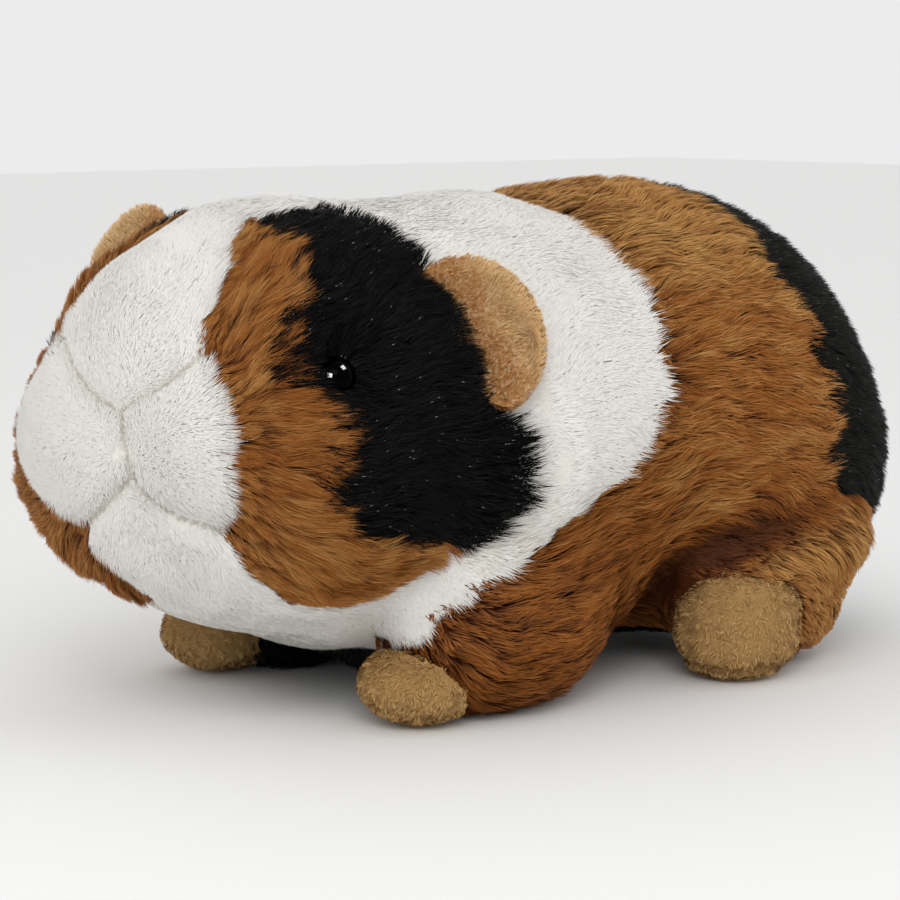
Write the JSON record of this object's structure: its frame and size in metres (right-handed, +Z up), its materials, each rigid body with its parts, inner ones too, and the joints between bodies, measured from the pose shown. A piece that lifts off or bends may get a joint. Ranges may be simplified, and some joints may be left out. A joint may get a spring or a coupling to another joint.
{
  "type": "plush guinea pig toy",
  "caption": "Stuffed plush guinea pig toy lying low on stub paws, head turned to its left, coat in white, ginger and black patches.",
  "frame": {"origin": "on the floor under the middle of the toy's bounding box", "axes": "-Y out of the nose end, +X to the toy's own left, +Z up"},
  "size_m": [0.126, 0.2323, 0.1141],
  "materials": {
    "white_plush": "pile",
    "ginger_plush": "pile",
    "black_plush": "pile",
    "tan_velboa": "short pile",
    "black_bead": "gloss"
  },
  "bodies": {
    "root": {"head": "white_plush", "whisker_pad_left": "white_plush", "whisker_pad_right": "white_plush", "chin": "white_plush", "collar": "white_plush", "saddle": "ginger_plush", "rump": "black_plush", "foreleg_left": "ginger_plush", "foreleg_right": "ginger_plush", "haunch_left": "ginger_plush", "haunch_right": "ginger_plush", "fore_paw_left": "tan_velboa", "fore_paw_right": "tan_velboa", "hind_paw_left": "tan_velboa", "hind_paw_right": "tan_velboa", "ear_left": "tan_velboa", "ear_right": "tan_velboa", "eye_left": "black_bead", "eye_right": "black_bead"}
  },
  "joints": []
}
